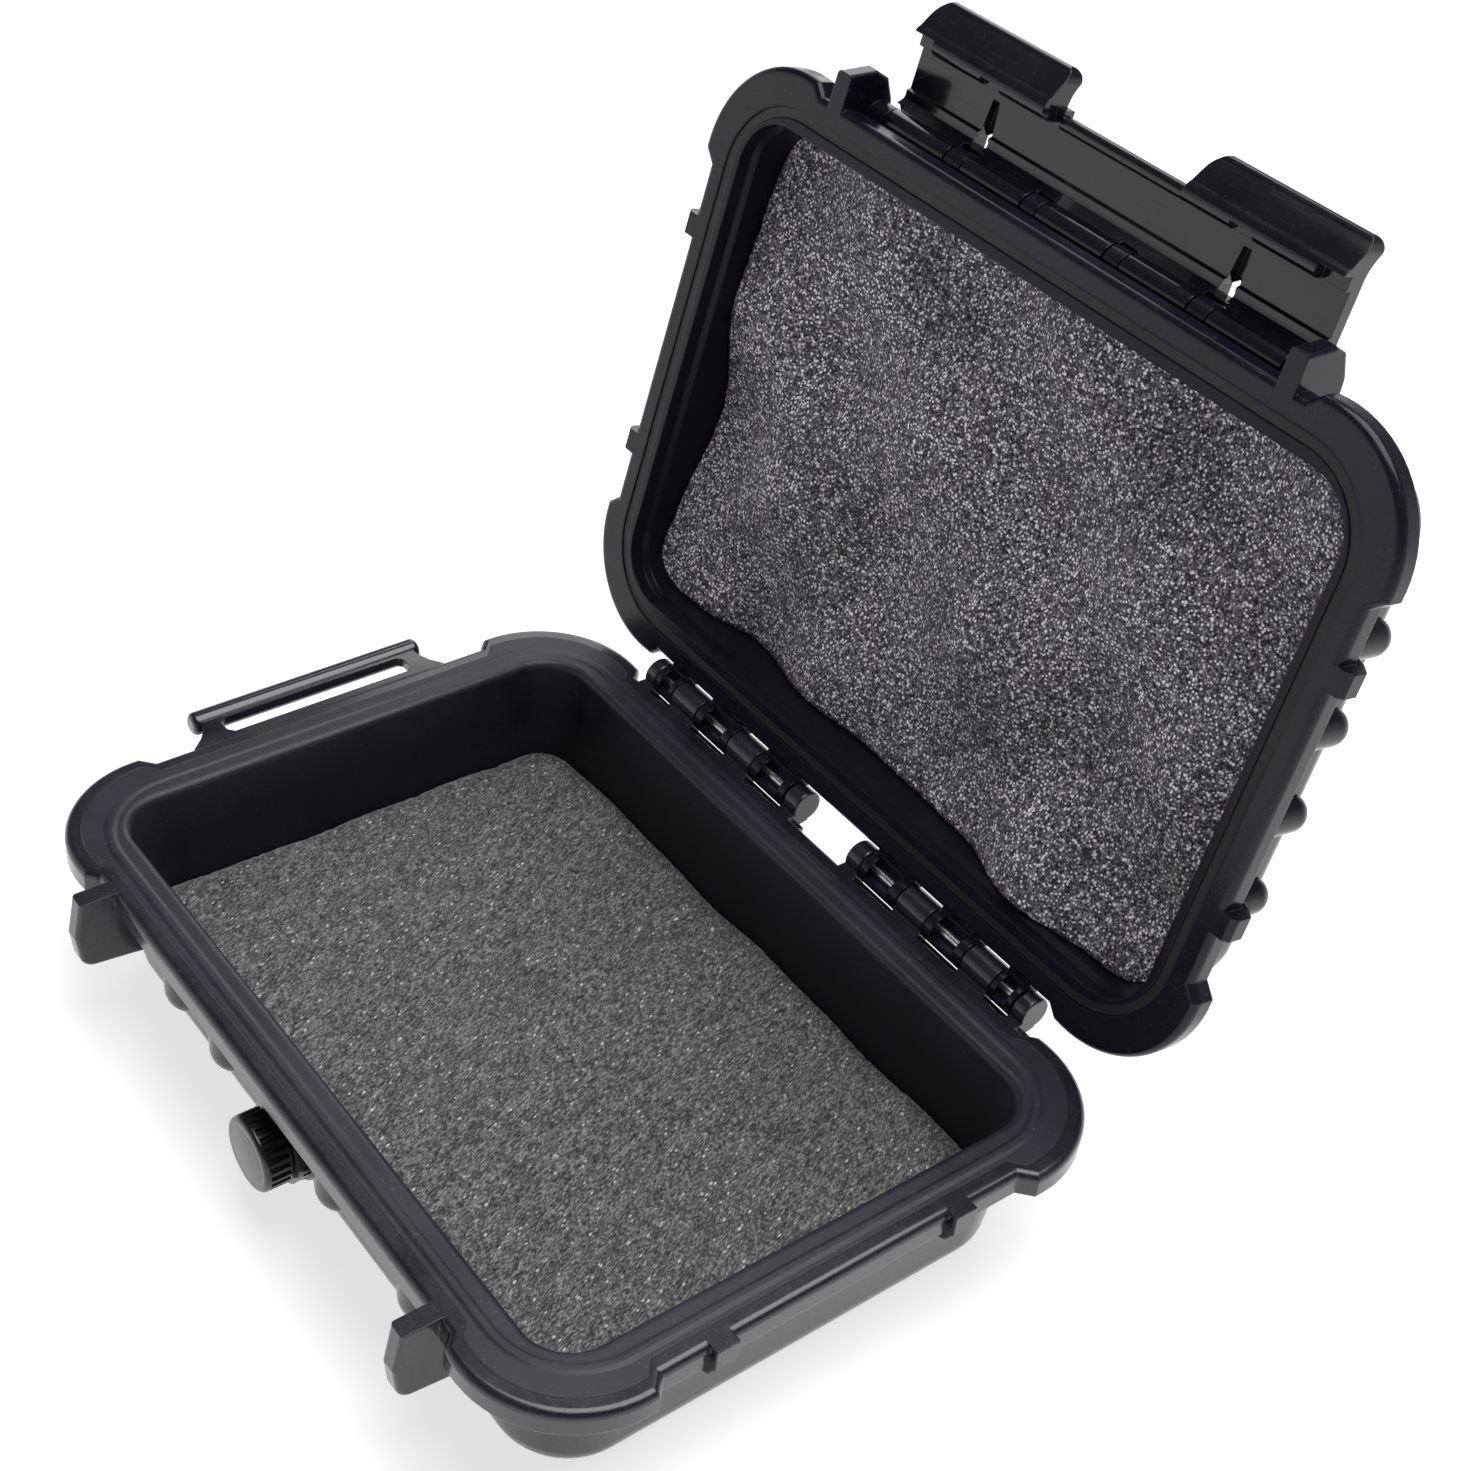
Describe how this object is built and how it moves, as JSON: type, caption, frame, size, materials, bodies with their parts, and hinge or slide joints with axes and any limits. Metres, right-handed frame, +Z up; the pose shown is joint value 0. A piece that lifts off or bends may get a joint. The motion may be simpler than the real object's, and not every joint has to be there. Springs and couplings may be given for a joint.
{
  "type": "carry case",
  "caption": "Small rectangular crush-resistant carry case with a hinged lid on its open stop, foam-lined halves, a wide front latch, a vent knob and a strap loop.",
  "frame": {"origin": "centre of the base's flat underside", "axes": "+X along the hinge, away from the strap loop; -Y is the front with the latch and vent knob; +Z up"},
  "size_m": [0.1861, 0.1837, 0.1773],
  "materials": {
    "shell": "satin",
    "lid_shell": "satin",
    "liner": "matte",
    "base_foam": "matte",
    "lid_foam": "matte",
    "gasket": "matte",
    "pin": "satin",
    "latch": "gloss",
    "valve": "gloss",
    "knob": "satin"
  },
  "bodies": {
    "base": {"base_shell": "shell", "base_liner": "liner", "base_foam": "base_foam", "hinge_pin_right": "pin", "hinge_pin_left": "pin", "valve_body": "valve", "valve_gasket": "gasket", "valve_nut": "valve"},
    "valve_slide": {"valve_seal": "gasket"},
    "valve_knob": {"valve_knob": "knob", "valve_stem": "pin"},
    "lid": {"lid_shell": "lid_shell", "lid_gasket": "gasket", "lid_foam": "lid_foam", "latch_pin": "pin"},
    "latch": {"latch": "latch"}
  },
  "joints": [
    {"name": "lid_hinge", "type": "hinge", "parent": "base", "child": "lid", "pos_m": [0, 0.0653, 0.0348], "axis": [1, 0, 0], "range_deg": [0, 102.5]},
    {"name": "latch_pivot", "type": "hinge", "parent": "lid", "child": "latch", "pos_m": [0, 0.10129, 0.15557], "axis": [1, 0, 0], "range_deg": [0, 90]},
    {"name": "valve_travel", "type": "slide", "parent": "base", "child": "valve_slide", "axis": [0, -1, 0], "range_m": [0, 0.00187]},
    {"name": "valve_turn", "type": "hinge", "parent": "valve_slide", "child": "valve_knob", "pos_m": [0, -0.06, 0.017], "axis": [0, -1, 0], "range_deg": [0, 540]}
  ],
  "couplings": [
    {"joint": "valve_turn", "follows": "valve_travel", "rad_per_m": 5026.5}
  ]
}
